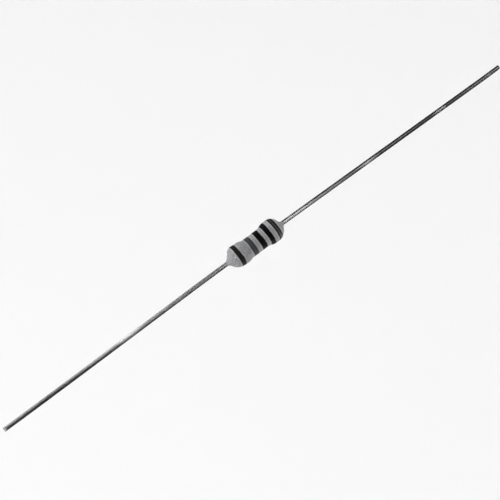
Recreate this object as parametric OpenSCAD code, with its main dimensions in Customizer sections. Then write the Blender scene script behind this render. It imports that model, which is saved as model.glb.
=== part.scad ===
/* [Ceramic rod] */
// Diameter of the rod
rod_d = 1.6; // [1.4:0.05:1.8]
// Length of the rod
rod_l = 5.3; // [5:0.1:5.8]
// Chamfer on the rod's two edges
rod_chamfer = 0.06; // [0.02:0.01:0.1]

/* [Resistive film] */
// Thickness of the film on the rod
film_t = 0.02; // [0.01:0.005:0.03]
// Axial pitch of the helical trim cut
trim_pitch = 0.45; // [0.35:0.05:0.5]
// Axial width of the trim cut
trim_w = 0.09; // [0.05:0.01:0.15]
// Number of turns that the trim cut makes
trim_turns = 5; // [2:0.5:5.5]

/* [End caps] */
// Thickness of the cap's sheet
cap_wall = 0.16; // [0.1:0.01:0.25]
// Length of the cap over its end wall
cap_l = 1.3; // [1.1:0.05:1.6]
// Outer radius between the cap's end wall and its skirt
cap_corner_r = 0.25; // [0.1:0.05:0.3]
// Flare inside the cap's mouth
cap_flare = 0.05; // [0.02:0.01:0.08]

/* [Lead wires] */
// Diameter of the wire
lead_d = 0.45; // [0.35:0.05:0.6]
// Length of each wire from the cap that carries it
lead_l = 28.4; // [10:0.2:40]
// Diameter of the weld's collar on the cap
weld_d = 0.76; // [0.64:0.02:0.9]
// Length of the weld's collar along the wire
weld_l = 0.34; // [0.1:0.02:0.4]
// How far the left wire was welded off square, in degrees
lead_left_yaw = 0.15; // [-1.5:0.05:1.5]
// How far the right wire was welded off square, in degrees
lead_right_yaw = -0.75; // [-1.5:0.05:1.5]
// Length of the two bevels that the cutter left on the left tip
pinch_l = 0.24; // [0.1:0.02:0.4]
// Thickness of the edge between those bevels
pinch_edge = 0.06; // [0.02:0.01:0.15]
// Edge break on the right tip, which is cut square
tip_break = 0.04; // [0.01:0.01:0.08]

/* [Coating] */
// Thickness of the lacquer on the film, at the waist
coat_waist_t = 0.17; // [0.1:0.01:0.25]
// Thickness of the lacquer on the left cap
coat_left_t = 0.17; // [0.12:0.01:0.25]
// Thickness of the lacquer on the right cap
coat_right_t = 0.23; // [0.15:0.01:0.28]
// Thickness of the lacquer over the left cap's corner, where it drew thin
coat_left_corner_t = 0.07; // [0.04:0.01:0.12]
// Thickness of the lacquer over the right cap's corner
coat_right_corner_t = 0.12; // [0.05:0.01:0.18]
// How far back from the cap's mouth the waist ends
waist_back = 0.71; // [0.4:0.01:1]
// Length of the rise from the waist to the left bulge
left_rise_l = 0.81; // [0.6:0.01:1.2]
// Length of the rise from the waist to the right bulge
right_rise_l = 1.13; // [0.6:0.01:1.3]
// Radius of the left dome's section
dome_left_r = 1.05; // [0.95:0.01:1.2]
// Radius of the right dome's section
dome_right_r = 1.1; // [0.95:0.01:1.2]
// Radius of the hollow where the lacquer runs out on the left wire
run_out_left_r = 0.5; // [0.2:0.05:0.6]
// Radius of the hollow where the lacquer runs out on the right wire
run_out_right_r = 0.45; // [0.2:0.05:0.6]
// Angle at which the lacquer meets the wire
wetting_angle = 15; // [10:1:30]

/* [Colour bands] */
// Thickness of the printed ink
ink_t = 0.015; // [0.01:0.005:0.03]
// Distance from the right cap's face to the middle of the first digit's band
first_digit_in = 0.34; // [0.3:0.01:0.5]
// Width of the first digit's band
first_digit_w = 0.45; // [0.3:0.01:0.55]
// Place of the second digit's band along the body
second_digit_x = 1.485; // [1.4:0.005:1.6]
// Width of the second digit's band
second_digit_w = 0.47; // [0.3:0.01:0.55]
// Place of the third digit's band along the body
third_digit_x = 0.52; // [0.3:0.01:0.7]
// Width of the third digit's band
third_digit_w = 0.53; // [0.3:0.01:0.6]
// Place of the multiplier's band along the body
multiplier_x = -0.53; // [-0.8:0.01:-0.3]
// Width of the multiplier's band
multiplier_w = 0.51; // [0.3:0.01:0.6]
// Distance from the left cap's face to the middle of the tolerance band
tolerance_in = 0.61; // [0.4:0.01:0.8]
// Width of the tolerance band
tolerance_w = 0.455; // [0.3:0.005:0.6]

/* [Hidden] */
$fn = 96;
spill = 0.05; // how far a cutting shape passes what it cuts
bite = 0.0001; // how far tangent outlines cross, so that each meets the next at one clean corner
collar_run_in = 0.03; // how far inside the wire the weld's collar ends
trim_steps = 24; // flats in a turn of the trim cut

film_r = rod_d / 2 + film_t;
cap_r = film_r + cap_wall;
cap_face_x = rod_l / 2 + cap_wall;
cap_mouth_x = cap_face_x - cap_l;
lead_r = lead_d / 2;
waist_r = film_r + coat_waist_t;
widest_r = cap_r + max(coat_left_t, coat_right_t);

// The short side of a right triangle that has this long side and other side
function leg(long, other) = sqrt(long * long - other * other);

// A point on the way from a to b, at this distance from a
function along(a, b, distance) = a + (b - a) * distance / norm(b - a);

// Sets a profile drawn as [radius, place along the axis] round the X axis
module turned() {
    rotate([0, 90, 0]) rotate_extrude() children();
}

// One end of the lacquer's outline from the body's middle to the wire: waist, two arcs that rise
// to the bulge, dome and the hollow run-out on the wire, each tangent to the next. The dome
// clears the cap's corner by corner_t. proud swells the whole.
module coat_end(bulge_t, corner_t, rise_l, dome_r, run_out_r, proud = 0) {
    bulge_r = cap_r + bulge_t;
    rise = bulge_r - waist_r;
    rise_r = (rise_l * rise_l + rise * rise) / (4 * rise);
    hollow = [waist_r + rise_r, cap_mouth_x - waist_back];
    crown = [bulge_r - rise_r, hollow[1] + rise_l];
    corner_reach = sqrt(2 * dome_r * (bulge_t - corner_t)
        + pow(cap_corner_r + corner_t, 2) - pow(cap_corner_r + bulge_t, 2));
    dome = [bulge_r - dome_r, cap_face_x - cap_corner_r - corner_reach];
    run_out_centre_r = lead_r + run_out_r * cos(wetting_angle);
    run_out = [run_out_centre_r, dome[1] + leg(dome_r + run_out_r, run_out_centre_r - dome[0])];
    rise_meet = along(crown, hollow, rise_r + proud);
    dome_meet = along(dome, run_out, dome_r + proud);
    difference() {
        union() {
            polygon([[0, 0], [waist_r + proud, 0], [waist_r + proud, hollow[1]], rise_meet,
                [bulge_r + proud, crown[1]], [bulge_r + proud, dome[1]], dome_meet,
                [dome_meet[0], run_out[1]], [0, run_out[1]]]);
            intersection() {
                translate(crown) circle(r = rise_r + proud + bite);
                square([bulge_r + 2 * proud, dome[1]]);
            }
            intersection() {
                translate(dome) circle(r = dome_r + proud + bite);
                square([bulge_r + 2 * proud, run_out[1]]);
            }
        }
        translate(hollow) circle(r = rise_r - proud + bite);
        translate(run_out) circle(r = run_out_r - proud + bite);
    }
}

// The whole outline of the lacquer in section
module coat_outline(proud = 0) {
    coat_end(coat_right_t, coat_right_corner_t, right_rise_l, dome_right_r, run_out_right_r, proud);
    mirror([0, 1])
        coat_end(coat_left_t, coat_left_corner_t, left_rise_l, dome_left_r, run_out_left_r, proud);
}

// The outside of the right cap in section, filled to the axis
module cap_outline() {
    translate([0, cap_mouth_x]) square([cap_r, cap_l - cap_corner_r]);
    translate([0, cap_mouth_x]) square([cap_r - cap_corner_r, cap_l]);
    translate([cap_r - cap_corner_r, cap_face_x - cap_corner_r]) circle(r = cap_corner_r);
}

// A drawn sheet cup, pressed over the film and the rod's end
module end_cap() {
    turned() difference() {
        cap_outline();
        translate([0, cap_mouth_x - spill]) square([film_r, rod_l / 2 - cap_mouth_x + spill]);
        polygon([[0, cap_mouth_x - spill], [film_r + cap_flare + spill, cap_mouth_x - spill],
            [film_r - spill, cap_mouth_x + cap_flare + spill], [0, cap_mouth_x + cap_flare + spill]]);
    }
}

// Round wire along +X, cut square with its edge broken
module wire_cut_square() {
    turned() polygon([[0, -spill], [lead_r, -spill], [lead_r, lead_l - tip_break],
        [lead_r - tip_break, lead_l], [0, lead_l]]);
}

// Round wire along +X, nipped off from above and below, which leaves a bevel on each side
module wire_nipped() {
    cut_r = lead_r + spill;
    edge_r = pinch_edge / 2;
    bevel_x = lead_l - pinch_l * (cut_r - edge_r) / (lead_r - edge_r);
    intersection() {
        turned() translate([0, -spill]) square([lead_r, lead_l + spill]);
        rotate([90, 0, 0]) linear_extrude(height = lead_d + spill, center = true)
            polygon([[-cut_r, -cut_r], [bevel_x, -cut_r], [lead_l, -edge_r],
                [lead_l, edge_r], [bevel_x, cut_r], [-cut_r, cut_r]]);
    }
}

// A wire butt-welded to the right cap's face, with the collar that the weld squeezed out
module welded_on(yaw) {
    intersection() {
        translate([cap_face_x, 0, 0]) rotate([0, 0, yaw]) children();
        translate([cap_face_x, -lead_l, -lead_l]) cube(2 * lead_l);
    }
    turned() polygon([[0, cap_face_x], [weld_d / 2, cap_face_x],
        [lead_r - collar_run_in, cap_face_x + weld_l], [0, cap_face_x + weld_l]]);
}

// The helical cut that trims the film to its resistance, as a bar that runs through the film
module trim_cut() {
    steps = ceil(trim_turns * trim_steps);
    inner_r = rod_d / 2 - spill;
    outer_r = film_r + spill;
    corners = [[inner_r, -trim_w / 2], [outer_r, -trim_w / 2], [outer_r, trim_w / 2], [inner_r, trim_w / 2]];
    points = [for (i = [0:steps]) for (c = corners) let (turn = i * trim_turns / steps)
        [(turn - trim_turns / 2) * trim_pitch + c[1], c[0] * cos(360 * turn), c[0] * sin(360 * turn)]];
    sides = [for (i = [0:steps - 1]) for (c = [0:3]) let (a = 4 * i + c, b = 4 * i + (c + 1) % 4)
        each [[a, b, a + 4], [b, b + 4, a + 4]]];
    polyhedron(points, concat([[3, 2, 1, 0], [for (c = [0:3]) 4 * steps + c]], sides));
}

module ceramic_rod() {
    color("ivory") turned() polygon([[0, -rod_l / 2], [rod_d / 2 - rod_chamfer, -rod_l / 2],
        [rod_d / 2, -rod_l / 2 + rod_chamfer], [rod_d / 2, rod_l / 2 - rod_chamfer],
        [rod_d / 2 - rod_chamfer, rod_l / 2], [0, rod_l / 2]]);
}

module resistive_film() {
    film_l = rod_l - 2 * rod_chamfer;
    color("dimgray") difference() {
        turned() translate([rod_d / 2, -film_l / 2]) square([film_t, film_l]);
        trim_cut();
    }
}

module end_cap_right() {
    color("lightgray") end_cap();
}

module end_cap_left() {
    color("lightgray") mirror([1, 0, 0]) end_cap();
}

module lead_wire_right() {
    color("silver") welded_on(lead_right_yaw) wire_cut_square();
}

module lead_wire_left() {
    color("silver") mirror([1, 0, 0]) welded_on(-lead_left_yaw) wire_nipped();
}

module coating() {
    color("darkgray") difference() {
        turned() coat_outline();
        turned() {
            translate([0, -rod_l / 2]) square([film_r, rod_l]);
            cap_outline();
            mirror([0, 1]) cap_outline();
        }
        welded_on(lead_right_yaw) wire_cut_square();
        mirror([1, 0, 0]) welded_on(-lead_left_yaw) wire_cut_square();
    }
}

// A ring of ink printed on the lacquer round this place along the body
module band(place, width) {
    turned() intersection() {
        difference() {
            coat_outline(ink_t);
            coat_outline();
        }
        translate([0, place - width / 2]) square([2 * widest_r, width]);
    }
}

module band_first_digit() {
    color("#2e2e2e") band(cap_face_x - first_digit_in, first_digit_w);
}

module band_second_digit() {
    color("#0c0c0e") band(second_digit_x, second_digit_w);
}

module band_third_digit() {
    color("#0a0a0c") band(third_digit_x, third_digit_w);
}

module band_multiplier() {
    color("#3c3e3d") band(multiplier_x, multiplier_w);
}

module band_tolerance() {
    color("#1e1e1b") band(tolerance_in - cap_face_x, tolerance_w);
}

ceramic_rod();
resistive_film();
end_cap_left();
end_cap_right();
lead_wire_left();
lead_wire_right();
coating();
band_first_digit();
band_second_digit();
band_third_digit();
band_multiplier();
band_tolerance();
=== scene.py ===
import bpy
import numpy as np
from mathutils import Matrix, Vector


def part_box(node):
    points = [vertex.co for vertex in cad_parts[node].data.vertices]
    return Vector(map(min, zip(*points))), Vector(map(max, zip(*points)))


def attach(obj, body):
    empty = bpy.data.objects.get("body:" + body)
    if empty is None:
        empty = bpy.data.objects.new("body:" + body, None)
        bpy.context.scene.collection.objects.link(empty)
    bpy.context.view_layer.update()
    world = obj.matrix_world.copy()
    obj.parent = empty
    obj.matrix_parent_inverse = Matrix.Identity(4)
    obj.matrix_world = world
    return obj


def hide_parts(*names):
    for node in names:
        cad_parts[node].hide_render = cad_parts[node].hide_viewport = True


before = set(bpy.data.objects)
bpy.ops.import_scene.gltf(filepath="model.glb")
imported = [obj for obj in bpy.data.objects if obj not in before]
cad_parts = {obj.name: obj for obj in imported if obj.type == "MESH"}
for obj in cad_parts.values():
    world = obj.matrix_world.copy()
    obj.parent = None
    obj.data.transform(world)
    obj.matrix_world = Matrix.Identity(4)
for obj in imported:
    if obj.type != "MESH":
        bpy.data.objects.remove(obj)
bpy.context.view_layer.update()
mm = 0.001

# Sizes are in millimetres and angles in degrees throughout. The body lies along X, with the tolerance band
# at its left end, -X. The caps mirror each other, so the right one's box gives both their places.
capLow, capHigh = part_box("end_cap_right")
cap = {"face": capHigh.x / mm, "mouth": capLow.x / mm, "radius": 0.98, "corner": 0.25}
filmRadius = 0.82  # over the metal film, under the lacquer
upperSide = 14  # round the body from +Y towards +Z: the side that faces the upper left of the photo
sharpAbove = 38  # an edge whose faces turn by more than this is drawn sharp


def addMesh(name, points, faces, material, uv=None):
    # A mesh from its points in millimetres and its faces, with its own UV map where a pattern follows it
    mesh = bpy.data.meshes.new(name)
    mesh.from_pydata((points * mm).tolist(), [], faces)
    if uv is not None:
        layer = mesh.uv_layers.new(name="drawn")
        layer.data.foreach_set("uv", np.ascontiguousarray(uv, np.float32).ravel())
    mesh.validate()
    mesh.shade_smooth()
    mesh.set_sharp_from_angle(angle=np.radians(sharpAbove))
    mesh.materials.append(material)
    piece = bpy.data.objects.new(name, mesh)
    bpy.context.scene.collection.objects.link(piece)
    return piece


def paintPoints(piece, name, values):
    # A number from 0 to 1 at each point of a mesh, for its material to read
    layer = piece.data.attributes.new(name, "FLOAT", "POINT")
    layer.data.foreach_set("value", np.ascontiguousarray(values, np.float32).ravel())


def gridFaces(rows, columns, wrapRows):
    # Quads between neighbouring rows of points; the columns close round, and the rows too if wrapRows
    row = np.arange(rows if wrapRows else rows - 1)[:, None]
    column = np.arange(columns)[None, :]
    nextRow = (row + 1) % rows
    nextColumn = (column + 1) % columns
    return np.stack([row * columns + column, row * columns + nextColumn,
                     nextRow * columns + nextColumn, nextRow * columns + column], -1).reshape(-1, 4)


def gridUv(rows, columns, wrapRows, along):
    # One UV corner for each corner of gridFaces: distance along the rows, and turns round the columns
    steps = np.arange(rows if wrapRows else rows - 1)[:, None] * np.ones((1, columns), int)
    turn = np.ones((len(steps), 1), int) * np.arange(columns)[None, :]
    after = np.append(along, along[:1] if wrapRows else [])
    corners = [(after[steps], turn), (after[steps], turn + 1), (after[steps + 1], turn + 1),
               (after[steps + 1], turn)]
    return np.stack([np.stack([a, t / columns], -1) for a, t in corners], -2).reshape(-1, 2)


def straight(start, end, radius, count):
    # Points along the body at one radius, as (along the body, radius)
    return np.stack([np.linspace(start, end, count), np.full(count, radius)], 1)


def arc(centre, radius, start, end, count):
    # Points on a circle from one angle to another, as (along the body, radius)
    angle = np.radians(np.linspace(start, end, count))
    return np.stack([centre[0] + radius * np.cos(angle), centre[1] + radius * np.sin(angle)], 1)


def srgb(colour):
    # A hex colour turned to linear light
    value = np.array([int(colour[i:i + 2], 16) for i in (1, 3, 5)]) / 255
    linear = np.where(value <= 0.04045, value / 12.92, ((value + 0.055) / 1.055) ** 2.4)
    return (*linear.tolist(), 1.0)


def addNode(material, kind, inputs=None, **settings):
    # Adds a node; an input is a value, or the output socket that it takes
    node = material.node_tree.nodes.new(kind)
    for name, value in settings.items():
        setattr(node, name, value)
    for name, value in (inputs or {}).items():
        if isinstance(value, bpy.types.NodeSocket):
            material.node_tree.links.new(value, node.inputs[name])
        else:
            node.inputs[name].default_value = value
    return node


def newMaterial(name):
    material = bpy.data.materials.new(name)
    material.use_nodes = True
    return material, material.node_tree.nodes["Principled BSDF"]


def setShader(material, shader, **sockets):
    # Sets the shader's sockets by name, each to a value or to the output socket that it takes
    for name, value in sockets.items():
        socket = shader.inputs[name.replace("_", " ")]
        if isinstance(value, bpy.types.NodeSocket):
            material.node_tree.links.new(value, socket)
        else:
            socket.default_value = value


def rampStops(node, stops):
    # Sets a colour ramp's stops from (place, hex colour) pairs
    elements = node.color_ramp.elements
    while len(elements) < len(stops):
        elements.new(0.5)
    for element, (place, colour) in zip(elements, stops):
        element.position = place
        element.color = srgb(colour)


# The pieces sealed inside, which keep the model's own shape: fired alumina, white and matt; sputtered metal
# film, dark and half bright; pressed steel caps with a bright plating
inside = {
    "aluminaCeramic": {"nodes": ["ceramic_rod"], "colour": "#ece8de", "metallic": 0.0, "roughness": 0.6},
    "metalFilm": {"nodes": ["resistive_film"], "colour": "#6e6c6a", "metallic": 1.0, "roughness": 0.35},
    "platedSteelCap": {"nodes": ["end_cap_left", "end_cap_right"], "colour": "#c4c3c0", "metallic": 1.0,
                       "roughness": 0.3},
}
insideGrain = {"size": 0.05, "depth": 0.001}


def makePlain(name, finish):
    # A plain finish with a fine grain
    material, shader = newMaterial(name)
    place = addNode(material, "ShaderNodeTexCoord").outputs["Object"]
    grain = addNode(material, "ShaderNodeTexNoise",
                    {"Vector": place, "Scale": 1 / (insideGrain["size"] * mm), "Detail": 3.0})
    bump = addNode(material, "ShaderNodeBump",
                   {"Height": grain.outputs["Fac"], "Distance": insideGrain["depth"] * mm})
    setShader(material, shader, Base_Color=srgb(finish["colour"]), Metallic=finish["metallic"],
              Roughness=finish["roughness"], Normal=bump.outputs[0])
    return material


def dressInside():
    for name, finish in inside.items():
        material = makePlain(name, finish)
        for node in finish["nodes"]:
            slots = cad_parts[node].data.materials
            slots.clear()
            slots.append(material)


# Both wires. The collar is the weld's upset, a cone that sinks into the wire, and the pinch is the chisel
# edge of a nipped tip. Rows are rings of points: near the weld, along the wire, and at the tip. The lines in
# the tin are noise with lineCount cells round the wire and lineStretch cells along each millimetre.
wire = {"radius": 0.225, "length": 28.4, "columns": 96, "rows": 420, "rootSpan": 0.4, "rootRows": 12,
        "tipRows": 26, "collarRadius": 0.38, "collarLength": 0.34, "collarEnd": 0.195,
        "pinch": 0.24, "pinchMargin": 1.02, "pinchEdge": 0.03, "pinchCurve": 1.1, "tipBreak": 0.04,
        # Then the painted shade on the wires' lower side: its dark tone, where it starts and how fast it
        # rises
        "bowRows": 41, "paintedShadeTone": "#303031", "paintedShadeFrom": 0.2, "paintedShadeRise": 3,
        "lineStretch": 0.15, "lineCount": 50, "lineDepth": 0.0003}

# Each wire from its weld to its tip: its bow towards the upper side as (distance, sideways), its tones as
# (share of its length, colour), painted reflection that gives its brighter and darker stretches, and the
# painted shade on its lower side, standing in for the dark it reflects there, as (distance, share). The yaw
# is how far it leaves square, anticlockwise from above.
wires = {
    "wireLeft": {"node": "lead_wire_left", "side": -1, "yaw": 0.15, "tip": "nipped",
                 "bow": [(0, 0.0), (4, 0.018), (12, -0.01), (19, -0.04), (26, -0.04), (28.4, -0.02)],
                 "tones": [(0.0, "#c2c1c3"), (0.09, "#acabad"), (0.3, "#b5b4b6"), (0.4, "#c6c5c7"),
                           (0.44, "#f0eff0"), (0.485, "#f0eff0"), (0.51, "#bcbbbd"), (0.82, "#a3a2a4"),
                           (0.95, "#d5d4d6")],
                 "paintedShade": [(0, 0)]},
    "wireRight": {"node": "lead_wire_right", "side": 1, "yaw": -0.75, "tip": "square",
                  "bow": [(0, 0.0), (26.8, 0.0), (28.4, 0.045)],
                  "tones": [(0.0, "#c6c5c7"), (0.04, "#e8e7e9"), (0.12, "#dad9db"), (0.17, "#b1b0b2"),
                            (0.34, "#929193"), (0.405, "#dedddf"), (0.46, "#8e8d8f"), (0.6, "#969597"),
                            (0.69, "#7f7e80"), (0.722, "#f0eff0"), (0.748, "#f0eff0"), (0.757, "#98979a"),
                            (0.79, "#9a999b"), (0.97, "#f0eff0")],
                  "paintedShade": [(9.2, 0), (9.6, 0.6), (10.4, 0.6), (10.8, 0), (12.2, 0), (13, 1), (18.8, 0.9),
                             (19.6, 0), (21.4, 0), (21.8, 0.6), (24, 0)]},
}


def makeTin(name, tones):
    # Drawn copper wire with a bright tin plating: silvery, with painted reflection in its tones along it and
    # painted shade darkening its lower side over some stretches, and with fine lines along it, 50 round the
    # wire, 0.03 mm apart and about 7 mm long. The real ones are finer still.
    material, shader = newMaterial(name)
    uv = addNode(material, "ShaderNodeUVMap", uv_map="drawn").outputs[0]
    stretched = addNode(material, "ShaderNodeMapping",
                        {"Vector": uv, "Scale": (wire["lineStretch"], wire["lineCount"], 1.0)})
    lines = addNode(material, "ShaderNodeTexNoise",
                    {"Vector": stretched.outputs[0], "Scale": 1.0, "Detail": 1.0})
    bump = addNode(material, "ShaderNodeBump",
                   {"Height": lines.outputs["Fac"], "Distance": wire["lineDepth"] * mm})
    along = addNode(material, "ShaderNodeSeparateXYZ", {0: uv}).outputs[0]
    share = addNode(material, "ShaderNodeMath", {0: along, 1: 1 / wire["length"]}, operation="MULTIPLY")
    # Painted reflection: the tones along the wire paint in the brighter and darker stretches of its
    # reflections
    tone = addNode(material, "ShaderNodeValToRGB", {"Fac": share.outputs[0]})
    rampStops(tone, tones)
    # Painted shade: a dark tone mixed in on the wire's lower side, standing in for the dark it reflects
    # there
    paintedShade = addNode(material, "ShaderNodeAttribute", attribute_name="paintedShade").outputs["Fac"]
    colour = addNode(material, "ShaderNodeMix",
                     {0: paintedShade, 6: tone.outputs["Color"], 7: srgb(wire["paintedShadeTone"])}, data_type="RGBA")
    setShader(material, shader, Base_Color=colour.outputs[2], Metallic=1.0, Roughness=0.21,
              Normal=bump.outputs[0])
    return material


def wirePoints(piece, along):
    # A ring of points at each distance from the weld: the weld's collar, the wire, and its cut end. A square
    # end has a broken edge, and a nipped one has its height held between two bevels. The bow bends the wire
    # by hundredths of a millimetre, as a taped and straightened lead is left.
    span = wire["length"]
    slope = (wire["collarEnd"] - wire["collarRadius"]) / wire["collarLength"]
    radius = np.maximum(wire["radius"], wire["collarRadius"] + slope * along)
    if piece["tip"] == "square":
        radius = np.minimum(radius, wire["radius"] + span - wire["tipBreak"] - along)
    angle = np.linspace(0, 2 * np.pi, wire["columns"], endpoint=False)
    across = radius[:, None] * np.cos(angle)
    height = radius[:, None] * np.sin(angle)
    if piece["tip"] == "nipped":
        share = np.clip((span - along) / wire["pinch"], 0, 1)
        limit = wire["pinchEdge"] + (wire["radius"] - wire["pinchEdge"]) * share ** wire["pinchCurve"]
        limit = np.where(share < 1, limit, np.inf)[:, None]
        height = np.clip(height, -limit, limit)
    yaw = np.radians(piece["yaw"])
    ahead = piece["side"] * np.array([np.cos(yaw), np.sin(yaw), 0])
    aside = piece["side"] * np.array([-np.sin(yaw), np.cos(yaw), 0])
    bow = np.interp(along, *np.transpose(piece["bow"]))
    bow = np.pad(bow, wire["bowRows"] // 2, mode="edge")
    bow = np.convolve(bow, np.full(wire["bowRows"], 1 / wire["bowRows"]), mode="valid")
    upper = np.array([0, np.cos(np.radians(upperSide)), np.sin(np.radians(upperSide))])
    root = np.array([piece["side"] * cap["face"], 0, 0])
    points = root + along[:, None, None] * ahead + across[..., None] * aside
    points = points + height[..., None] * np.array([0, 0, 1]) + bow[:, None, None] * upper
    # Painted shade: how far each point faces the lower side, and how much of the dark tone it takes there
    lower = -upper[1] * aside[1] * np.cos(angle) - upper[2] * np.sin(angle)
    paintedShade = np.interp(along, *np.transpose(piece["paintedShade"]))[:, None]
    paintedShade = paintedShade * np.clip((lower - wire["paintedShadeFrom"]) * wire["paintedShadeRise"], 0, 1)
    return points, paintedShade, root, root + span * ahead


def makeWire(name, piece):
    # The rings joined into a tube, and closed at each end by triangles that meet at its middle
    span = wire["length"]
    tipStart = span - wire["pinch"] * wire["pinchMargin"]
    along = np.concatenate([np.linspace(0, wire["rootSpan"], wire["rootRows"])[:-1],
                            np.linspace(wire["rootSpan"], tipStart, wire["rows"])[:-1],
                            np.linspace(tipStart, span, wire["tipRows"])])
    points, paintedShade, root, end = wirePoints(piece, along)
    rows, columns = points.shape[:2]
    count = rows * columns
    last = count - columns
    ring = np.arange(columns)
    nextRing = (ring + 1) % columns
    near = np.stack([np.full(columns, count), nextRing, ring], 1)
    far = np.stack([np.full(columns, count + 1), last + ring, last + nextRing], 1)
    everyPoint = np.concatenate([points.reshape(-1, 3), [root, end]])
    everyFace = gridFaces(rows, columns, False).tolist() + near.tolist() + far.tolist()
    everyUv = np.concatenate([gridUv(rows, columns, False, along), np.zeros((3 * columns, 2)),
                              np.full((3 * columns, 2), span)])
    made = addMesh(name, everyPoint, everyFace, makeTin(name + "Tin", piece["tones"]), everyUv)
    paintPoints(made, "paintedShade", np.append(paintedShade.ravel(), [0, 0]))
    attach(made, "root")
    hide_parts(piece["node"])
    return made


# The lacquer. Its outline is the model's, with the coat a little thicker, as the photo shows. Ripples are
# (height, turns, twist for each millimetre, phase), drifts towards the upper side (amount, place, spread),
# and painted highlights, small pale spots where the gloss glints (place, angle, size). Rows are the points
# of each stretch of the outline.
lacquer = {"columns": 192, "waist": 0.99, "waistBack": 0.71, "wetting": 15, "tuck": 4, "sunk": 0.004,
           "coreReach": 0.6, "waistRows": 24, "riseRows": 24, "flatRows": 12, "domeRows": 48,
           "runOutRows": 32, "cornerRows": 8, "thicker": 0.018,
           "ripples": [(0.006, 2, 1.1, 0.4), (0.004, 3, -1.7, 2.0)],
           "drifts": [(0.03, -2.5, 0.5), (-0.028, 0, 1.4)], "unevenPast": 0.3, "unevenFade": 0.5,
           "rim": 0.16, "rimWidth": 0.1, "rimFade": 0.09,
           "paintedHighlightStrength": 0.8, "paintedHighlights": [(-2.62, 104, 0.08), (-3.3, 110, 0.1)],
           "cloud": 0.9, "grain": 0.13, "grainShare": 0.7, "peel": 0.25, "peelDepth": 0.005,
           "tones": [(0.36, "#737376"), (0.64, "#9e9ea0")], "paleTone": "#d4d4d4"}

# Its two ends: the bulge, the arcs that lead to it and from it, and the run-out on the wire. The tail, the
# last of the run-out, reaches further by tailFurther, less tailLean on the upper side, where the left dome
# is held back.
lacquerLeft = {"bulge": 1.15, "overCorner": 0.07, "rise": 0.81, "dome": 1.05, "runOut": 0.5,
               "tailFrom": 3.05, "tailFade": 0.25, "tailFurther": 0.1, "tailLean": 0.03,
               "heldAt": 2.98, "heldSpread": 0.16, "heldBack": 0.08}
lacquerRight = {"bulge": 1.21, "overCorner": 0.12, "rise": 1.13, "dome": 1.1, "runOut": 0.45,
                "tailFrom": 2.85, "tailFade": 0.35, "tailFurther": 0.08, "tailLean": 0.13}


def lacquerEnd(end):
    # Waist, two arcs that rise to the bulge, the dome and the hollow run-out on the wire, each tangent to
    # the next. The dome clears the cap's corner by overCorner.
    height = end["bulge"] - lacquer["waist"]
    riseRadius = (end["rise"] ** 2 + height ** 2) / (4 * height)
    overCap = end["bulge"] - cap["radius"]
    reach = np.sqrt(2 * end["dome"] * (overCap - end["overCorner"])
                    + (cap["corner"] + end["overCorner"]) ** 2 - (cap["corner"] + overCap) ** 2)
    riseStart = cap["mouth"] - lacquer["waistBack"]
    riseEnd = riseStart + end["rise"]
    domeX = cap["face"] - cap["corner"] - reach
    domeY = end["bulge"] - end["dome"]
    runOutY = wire["radius"] + end["runOut"] * np.cos(np.radians(lacquer["wetting"]))
    between = end["dome"] + end["runOut"]
    runOutX = domeX + np.sqrt(between ** 2 - (runOutY - domeY) ** 2)
    lean = np.degrees(np.arctan2(runOutY - domeY, runOutX - domeX))
    swing = np.degrees(2 * np.arctan2(height, end["rise"]))
    runOutEnd = 270 - lacquer["wetting"] + lacquer["tuck"]
    hollowY = lacquer["waist"] + riseRadius
    humpY = end["bulge"] - riseRadius
    return np.concatenate([
        straight(0, riseStart, lacquer["waist"], lacquer["waistRows"])[:-1],
        arc((riseStart, hollowY), riseRadius, -90, -90 + swing, lacquer["riseRows"])[:-1],
        arc((riseEnd, humpY), riseRadius, 90 + swing, 90, lacquer["riseRows"])[:-1],
        straight(riseEnd, domeX, end["bulge"], lacquer["flatRows"])[:-1],
        arc((domeX, domeY), end["dome"], 90, lean, lacquer["domeRows"])[:-1],
        arc((runOutX, runOutY), end["runOut"], 180 + lean, runOutEnd, lacquer["runOutRows"]),
    ])


def lacquerOutline():
    # The whole outline from the left wire to the right one
    left = lacquerEnd(lacquerLeft) * [-1, 1]
    return np.concatenate([left[:0:-1], lacquerEnd(lacquerRight)])


def lacquerCore():
    # What the lacquer fills up to: wire, weld, cap and film, from the right wire back to the left one
    within = wire["radius"] - lacquer["sunk"]
    corner = cap["corner"]
    half = np.concatenate([
        [[cap["face"] + lacquer["coreReach"], within], [cap["face"] + wire["collarLength"], within],
         [cap["face"], wire["collarRadius"]]],
        arc((cap["face"] - corner, cap["radius"] - corner), corner, 0, 90, lacquer["cornerRows"]),
        [[cap["mouth"], cap["radius"]], [cap["mouth"], filmRadius]],
    ])
    return np.concatenate([half, half[::-1] * [-1, 1]])


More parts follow.
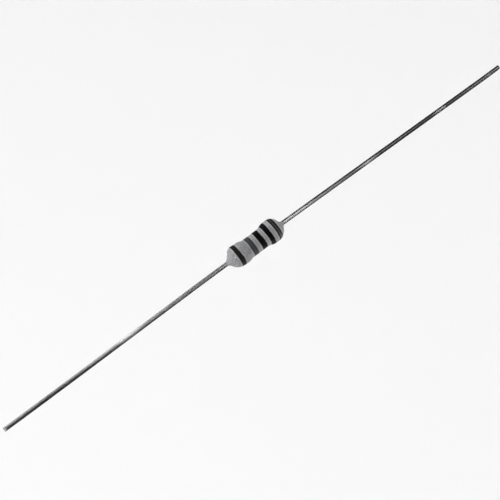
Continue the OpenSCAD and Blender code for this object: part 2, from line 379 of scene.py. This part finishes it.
def lacquerSurface(place, radius, angle):
    # The outline set round the axis, with the unevenness of a dipped coat: it ripples, its section drifts a
    # little off centre, it runs out further on one side of each wire, and it follows both wires
    turned = np.radians(upperSide)
    upper = 0.5 + 0.5 * np.cos(angle - turned)
    uneven = lacquer["thicker"]
    for height, turns, twist, phase in lacquer["ripples"]:
        uneven = uneven + height * np.sin(turns * angle + twist * place + phase)
    drift = 0
    for amount, middle, spread in lacquer["drifts"]:
        drift = drift + amount * np.exp(-((place - middle) / spread) ** 2)
    held = np.exp(-((place + lacquerLeft["heldAt"]) / lacquerLeft["heldSpread"]) ** 2)
    along = place + held * lacquerLeft["heldBack"] * upper
    for side, end in ((-1, lacquerLeft), (1, lacquerRight)):
        tail = np.clip((side * place - end["tailFrom"]) / end["tailFade"], 0, 1)
        along = along + side * tail * (end["tailFurther"] - end["tailLean"] * upper)
    body = np.clip((cap["face"] + lacquer["unevenPast"] - abs(place)) / lacquer["unevenFade"], 0, 1)
    swell = radius + uneven * body
    yaw = np.radians(np.where(place > 0, wires["wireRight"]["yaw"], -wires["wireLeft"]["yaw"]))
    aside = np.clip(abs(place) - cap["face"], 0, None) * np.tan(yaw)
    return np.stack([along, swell * np.cos(angle) + drift * np.cos(turned) + aside,
                     swell * np.sin(angle) + drift * np.sin(turned)], -1)


def lacquerPaleness(place, angle):
    # How pale the lacquer is at each place and angle: a thin line beside each printed edge, where the
    # roller squeezed the coat, and a few painted highlights, small pale spots where the gloss glints. Each
    # fades as a bell curve of the distance from it.
    edges = np.array([[band["start"], band["end"]] for band in bands.values()]).ravel()
    nearest = abs(place[..., None] - edges).min(-1)
    beyond = np.clip(nearest - lacquer["rimWidth"], 0, None)
    line = lacquer["rim"] * np.exp(-(beyond / lacquer["rimFade"]) ** 2)
    # Painted highlights: small pale spots where the gloss glints
    highlight = np.zeros(np.broadcast(place, angle).shape)
    for along, turn, size in lacquer["paintedHighlights"]:
        far = (place - along) ** 2 + (2 * np.sin((angle - np.radians(turn)) / 2)) ** 2
        highlight = np.maximum(highlight, np.exp(-far / size ** 2))
    return np.clip(line + lacquer["paintedHighlightStrength"] * highlight, 0, 1)


def makeLacquer():
    # Dip-coated epoxy lacquer, matt from its mineral filler: an even mid grey, with faint clouds where the
    # coat is thicker, a grain, a fine orange peel, and a bloom that pales it where it is seen edge on. The
    # real grain is finer, and is drawn as coarse as it needs to show.
    material, shader = newMaterial("dippedLacquer")
    place = addNode(material, "ShaderNodeTexCoord").outputs["Object"]
    cloud = addNode(material, "ShaderNodeTexNoise",
                    {"Vector": place, "Scale": 1 / (lacquer["cloud"] * mm), "Detail": 4.0})
    grain = addNode(material, "ShaderNodeTexNoise",
                    {"Vector": place, "Scale": 1 / (lacquer["grain"] * mm), "Detail": 3.0})
    both = addNode(material, "ShaderNodeMix",
                   {0: lacquer["grainShare"], 2: cloud.outputs["Fac"], 3: grain.outputs["Fac"]})
    tone = addNode(material, "ShaderNodeValToRGB", {"Fac": both.outputs[0]})
    rampStops(tone, lacquer["tones"])
    # Pale lines beside the printed edges, and painted highlights in a few small spots
    pale = addNode(material, "ShaderNodeAttribute", attribute_name="pale").outputs["Fac"]
    colour = addNode(material, "ShaderNodeMix",
                     {0: pale, 6: tone.outputs["Color"], 7: srgb(lacquer["paleTone"])}, data_type="RGBA")
    peel = addNode(material, "ShaderNodeTexNoise",
                   {"Vector": place, "Scale": 1 / (lacquer["peel"] * mm), "Detail": 2.0})
    bump = addNode(material, "ShaderNodeBump",
                   {"Height": peel.outputs["Fac"], "Distance": lacquer["peelDepth"] * mm})
    setShader(material, shader, Base_Color=colour.outputs[2], Roughness=0.6, IOR=1.5,
              Specular_IOR_Level=0.3, Sheen_Weight=0.12, Sheen_Roughness=0.25, Normal=bump.outputs[0])
    return material


def makeCoat(material):
    # The outer outline and the core joined into one closed loop, carried round the body
    outer = lacquerOutline()
    core = lacquerCore()
    angle = np.linspace(0, 2 * np.pi, lacquer["columns"], endpoint=False)[None, :]
    skin = lacquerSurface(outer[:, :1], outer[:, 1:], angle)
    within = np.stack([core[:, :1] + 0 * angle, core[:, 1:] * np.cos(angle),
                       core[:, 1:] * np.sin(angle)], -1)
    points = np.concatenate([skin, within])
    faces = gridFaces(*points.shape[:2], True)
    made = addMesh("lacquerCoat", points.reshape(-1, 3), faces.tolist(), material)
    pale = np.zeros(points.shape[:2])
    pale[:len(outer)] = lacquerPaleness(outer[:, :1], angle)
    paintPoints(made, "pale", pale)
    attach(made, "root")
    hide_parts("coating")
    return made


# The printed bands: where each begins and ends along the body, and its ink's tones from start to end
bands = {
    "firstDigit": {"node": "band_first_digit", "start": 2.235, "end": 2.755,
                   "ink": [(0.2, "#050505"), (0.45, "#4a4a4a"), (0.75, "#060606")]},
    "secondDigit": {"node": "band_second_digit", "start": 1.268, "end": 1.77,
                    "ink": [(0.0, "#010102"), (1.0, "#010102")]},
    "thirdDigit": {"node": "band_third_digit", "start": 0.255, "end": 0.85,
                   "ink": [(0.0, "#010102"), (1.0, "#010102")]},
    "multiplier": {"node": "band_multiplier", "start": -0.785, "end": -0.24,
                   "ink": [(0.0, "#3a3c3b"), (0.5, "#454746"), (1.0, "#323534")]},
    "tolerance": {"node": "band_tolerance", "start": -2.4, "end": -1.905,
                  "ink": [(0.15, "#161612"), (0.5, "#21211d"), (0.85, "#161612")]},
}

# The ink of every band. Its edges wander in waves round the body, and tilt towards the upper side. The edge
# is the share of the width over which the film thins, down to just under the lacquer.
ink = {"thickness": 0.015, "columns": 192, "rows": 20, "waves": (2, 3, 5, 8, 13), "wander": 0.012,
       "tilt": 0.02, "edge": 0.08, "tuck": 0.001, "sunk": 0.006,
       "streaksAcross": 14, "streaksRound": 3, "streakShade": 0.25}


def makeInk(name, tones):
    # Roller-printed epoxy ink, nearly matt: a thin dark film, a little thinner, so paler, along its middle
    # or its edges. The roller leaves it streaky round the body: 14 streaks across a band, 0.04 mm wide, and
    # 3 in one turn, about 2 mm long.
    material, shader = newMaterial(name)
    uv = addNode(material, "ShaderNodeUVMap", uv_map="drawn").outputs[0]
    across = addNode(material, "ShaderNodeSeparateXYZ", {0: uv}).outputs[0]
    drawn = addNode(material, "ShaderNodeMapping",
                    {"Vector": uv, "Scale": (ink["streaksAcross"], ink["streaksRound"], 1.0)})
    streak = addNode(material, "ShaderNodeTexNoise",
                     {"Vector": drawn.outputs[0], "Scale": 1.0, "Detail": 3.0})
    film = addNode(material, "ShaderNodeValToRGB", {"Fac": across})
    rampStops(film, tones)
    darker = addNode(material, "ShaderNodeMix",
                     {0: ink["streakShade"], 6: film.outputs["Color"], 7: srgb("#000000")}, data_type="RGBA")
    base = addNode(material, "ShaderNodeMix",
                   {0: streak.outputs["Fac"], 6: darker.outputs[2], 7: film.outputs["Color"]},
                   data_type="RGBA")
    setShader(material, shader, Base_Color=base.outputs[2], Roughness=0.6, IOR=1.5,
              Specular_IOR_Level=0.27, Sheen_Weight=0.08, Sheen_Roughness=0.2)
    return material


def makeBand(name, band, seed):
    # A film of ink on the lacquer: thickest a little way in from its two wandering edges, closed beneath
    outline = lacquerOutline()
    angle = np.linspace(0, 2 * np.pi, ink["columns"], endpoint=False)[None, :]
    random = np.random.default_rng(seed)
    wander = np.zeros((2, ink["columns"]))
    for turns in ink["waves"]:
        phase = random.uniform(0, 2 * np.pi, (2, 1))
        wander += ink["wander"] / np.sqrt(turns) * np.sin(turns * angle + phase)
    wander -= ink["tilt"] * np.cos(angle - np.radians(upperSide))
    share = np.linspace(0, 1, ink["rows"])[:, None]
    start = band["start"] + wander[:1]
    end = band["end"] + wander[1:]
    place = start + (end - start) * share
    rise = np.minimum(1, np.minimum(share, 1 - share) / ink["edge"])
    film = ink["thickness"] * np.sin(rise * np.pi / 2)
    radius = np.interp(place, outline[:, 0], outline[:, 1])
    top = lacquerSurface(place, radius + film - ink["tuck"], angle)
    under = lacquerSurface(place[::-1], radius[::-1] - ink["sunk"], angle)
    points = np.concatenate([top, under])
    rows, columns = points.shape[:2]
    faces = gridFaces(rows, columns, True)
    uv = gridUv(rows, columns, True, np.concatenate([share[:, 0], share[::-1, 0]]))
    material = makeInk(name + "Ink", band["ink"])
    made = addMesh(name + "Band", points.reshape(-1, 3), faces.tolist(), material, uv)
    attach(made, "root")
    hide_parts(band["node"])
    return made


# A pale sweep far below the part, round, flat in its middle and bent up to a wall, in a dim white room
studio = {"floor": -382, "centre": 1, "flat": 700, "bend": 300, "wall": 900, "columns": 96, "bendRows": 24,
          "paper": "#f7f7f7", "room": "#ffffff", "roomStrength": 0.03}


def makeStudio():
    # The sweep's outline carried round an upright axis. Only the camera and matt surfaces see it.
    bendMiddle = (studio["flat"], studio["floor"] + studio["bend"])
    bend = arc(bendMiddle, studio["bend"], -90, 0, studio["bendRows"])
    outline = np.concatenate([[[studio["centre"], studio["floor"]]], bend,
                              [[studio["flat"] + studio["bend"], studio["wall"]]]])
    angle = np.linspace(0, 2 * np.pi, studio["columns"], endpoint=False)
    points = np.stack([outline[:, :1] * np.cos(angle), outline[:, :1] * np.sin(angle),
                       outline[:, 1:] + 0 * angle], -1)
    faces = gridFaces(*points.shape[:2], False).tolist() + [list(range(studio["columns"]))]
    paper, shader = newMaterial("paleSweep")
    setShader(paper, shader, Base_Color=srgb(studio["paper"]), Roughness=1.0)
    sweep = addMesh("sweep", points.reshape(-1, 3), faces, paper)
    sweep.visible_glossy = False


def fillRoom():
    # A faint even light from everywhere
    world = bpy.data.worlds.new("room")
    world.use_nodes = True
    background = world.node_tree.nodes["Background"]
    background.inputs["Color"].default_value = srgb(studio["room"])
    background.inputs["Strength"].default_value = studio["roomStrength"]
    bpy.context.scene.world = world


# Soft boxes half a metre away, each with its azimuth round from +X, its elevation, and its size across and
# along the wires. The large ones that only matt surfaces see light the lacquer, the ink and the paper. Those
# that everything sees also show in the wires, as the light lines along them. Those that only gloss sees pale
# the edges of lacquer and ink from below, and atTip brightens the nipped tip's bevel.
lightDistance = 500
lights = {
    "north": {"azimuth": 100, "elevation": 40, "size": (420, 280), "radiance": 4.2, "seenBy": "matt"},
    "south": {"azimuth": -80, "elevation": 5, "size": (420, 280), "radiance": 1.2, "seenBy": "matt"},
    "southWest": {"azimuth": -130, "elevation": -8, "size": (240, 240), "radiance": 3.2, "seenBy": "matt"},
    "west": {"azimuth": 180, "elevation": 10, "size": (280, 420), "radiance": 3.3, "seenBy": "matt"},
    "atTip": {"azimuth": 180, "elevation": 14, "size": (180, 180), "radiance": 4.0, "seenBy": "gloss"},
    "east": {"azimuth": 0, "elevation": 10, "size": (280, 420), "radiance": 2.6, "seenBy": "matt"},
    "southEast": {"azimuth": -45, "elevation": 3, "size": (240, 220), "radiance": 3.0, "seenBy": "all"},
    "belowRight": {"azimuth": -40, "elevation": -42, "size": (200, 160), "radiance": 10, "seenBy": "gloss"},
    "belowLeft": {"azimuth": -130, "elevation": -42, "size": (200, 180), "radiance": 12, "seenBy": "gloss"},
    "behindLeft": {"azimuth": 126, "elevation": -22, "size": (180, 180), "radiance": 8.0, "seenBy": "gloss"},
    "northWest": {"azimuth": 140, "elevation": 10, "size": (420, 280), "radiance": 3.2, "seenBy": "matt"},
    "rimLeft": {"azimuth": 85, "elevation": 12, "size": (175, 50), "radiance": 4.8, "seenBy": "all"},
    "upperLeft": {"azimuth": 82.6, "elevation": 51.8, "size": (175, 40), "radiance": 2.6, "seenBy": "all"},
    "overLeft": {"azimuth": -14.9, "elevation": 82.3, "size": (175, 35), "radiance": 1.7, "seenBy": "all"},
    "lowerLeft": {"azimuth": -77, "elevation": 27.4, "size": (175, 35), "radiance": 2.6, "seenBy": "all"},
    "overRight": {"azimuth": -8.2, "elevation": 76.2, "size": (175, 35), "radiance": 2.8, "seenBy": "all"},
    "lowerRight": {"azimuth": -59.6, "elevation": 64.9, "size": (175, 35), "radiance": 1.6, "seenBy": "all"},
}


def addLight(name, light):
    # A soft box that faces the part. Its energy is its radiance times pi times its area; its second side
    # lies as nearly along the wires as it can.
    azimuth, elevation = np.radians(light["azimuth"]), np.radians(light["elevation"])
    towards = Vector((np.cos(azimuth) * np.cos(elevation), np.sin(azimuth) * np.cos(elevation),
                      np.sin(elevation)))
    aside = (Vector((1, 0, 0)) - towards.x * towards).normalized()
    across, along = light["size"]
    data = bpy.data.lights.new(name, "AREA")
    data.shape = "RECTANGLE"
    data.size = across * mm
    data.size_y = along * mm
    data.energy = light["radiance"] * np.pi * across * along * mm * mm
    made = bpy.data.objects.new(name, data)
    turned = Matrix((aside.cross(towards), aside, towards)).transposed().to_4x4()
    made.matrix_world = Matrix.Translation(towards * lightDistance * mm) @ turned
    made.visible_glossy = light["seenBy"] != "matt"
    made.visible_diffuse = light["seenBy"] != "gloss"
    bpy.context.scene.collection.objects.link(made)
    return made


# Where the photograph was taken from
camera = {"azimuth": -37.8, "elevation": 72.5, "distance": 300, "lens": 216, "sensor": 36,
          "panRight": -0.483, "panUp": -0.666, "nearest": 10, "farthest": 10000}


def placeCamera():
    # It looks along the photo's angle at the body's middle, then moves sideways by the pans
    azimuth, elevation = np.radians(camera["azimuth"]), np.radians(camera["elevation"])
    back = Vector((np.sin(azimuth) * np.cos(elevation), -np.cos(azimuth) * np.cos(elevation),
                   np.sin(elevation)))
    right = Vector((np.cos(azimuth), np.sin(azimuth), 0))
    up = back.cross(right)
    data = bpy.data.cameras.new("camera")
    data.lens = camera["lens"]
    data.sensor_width = camera["sensor"]
    data.clip_start = camera["nearest"] * mm
    data.clip_end = camera["farthest"] * mm
    seat = (back * camera["distance"] + right * camera["panRight"] + up * camera["panUp"]) * mm
    made = bpy.data.objects.new("camera", data)
    made.matrix_world = Matrix.Translation(seat) @ Matrix((right, up, back)).transposed().to_4x4()
    bpy.context.scene.collection.objects.link(made)
    bpy.context.scene.camera = made


bpy.context.scene.view_settings.view_transform = "Standard"
placeCamera()
print("camera placed")
for name, piece in wires.items():
    makeWire(name, piece)
print("wires made")
makeCoat(makeLacquer())
for seed, (name, band) in enumerate(bands.items()):
    makeBand(name, band, seed)
print("lacquer and bands made")
dressInside()
print("inner pieces dressed")
makeStudio()
fillRoom()
for name, light in lights.items():
    addLight(name, light)
print("studio lit")
